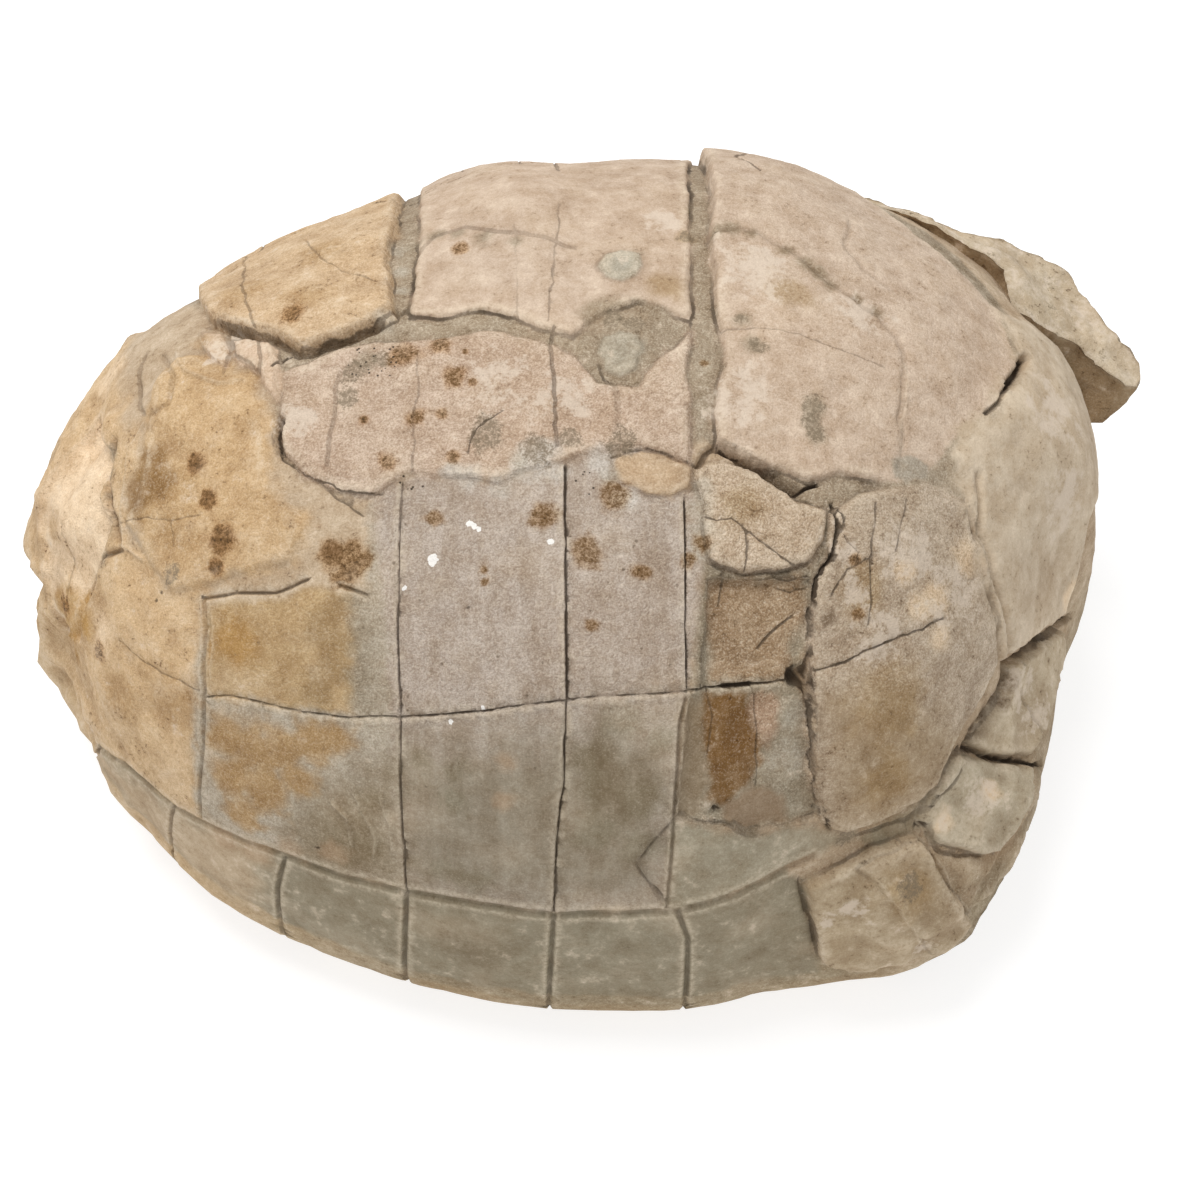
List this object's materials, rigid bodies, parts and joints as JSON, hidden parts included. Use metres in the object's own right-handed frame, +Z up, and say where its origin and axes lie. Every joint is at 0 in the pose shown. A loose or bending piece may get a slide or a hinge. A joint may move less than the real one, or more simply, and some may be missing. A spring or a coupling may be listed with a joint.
{
  "type": "fossil turtle shell",
  "caption": "Domed fossil tortoise shell of cracked bone plates and stone, with carved seams and a displaced slab at one end, resting on its flat underside",
  "frame": {"origin": "on the flat underside, below the middle of the shell", "axes": "+Z up out of the domed back, +X along the shell's long axis towards the end with the displaced slab, +Y towards the side without carved seams"},
  "size_m": [0.4255, 0.3324, 0.2096],
  "materials": {
    "fossil_stone": "matte, dry weathered bone and matrix"
  },
  "bodies": {
    "root": {"fossil_turtle_shell": "fossil_stone"}
  },
  "joints": []
}
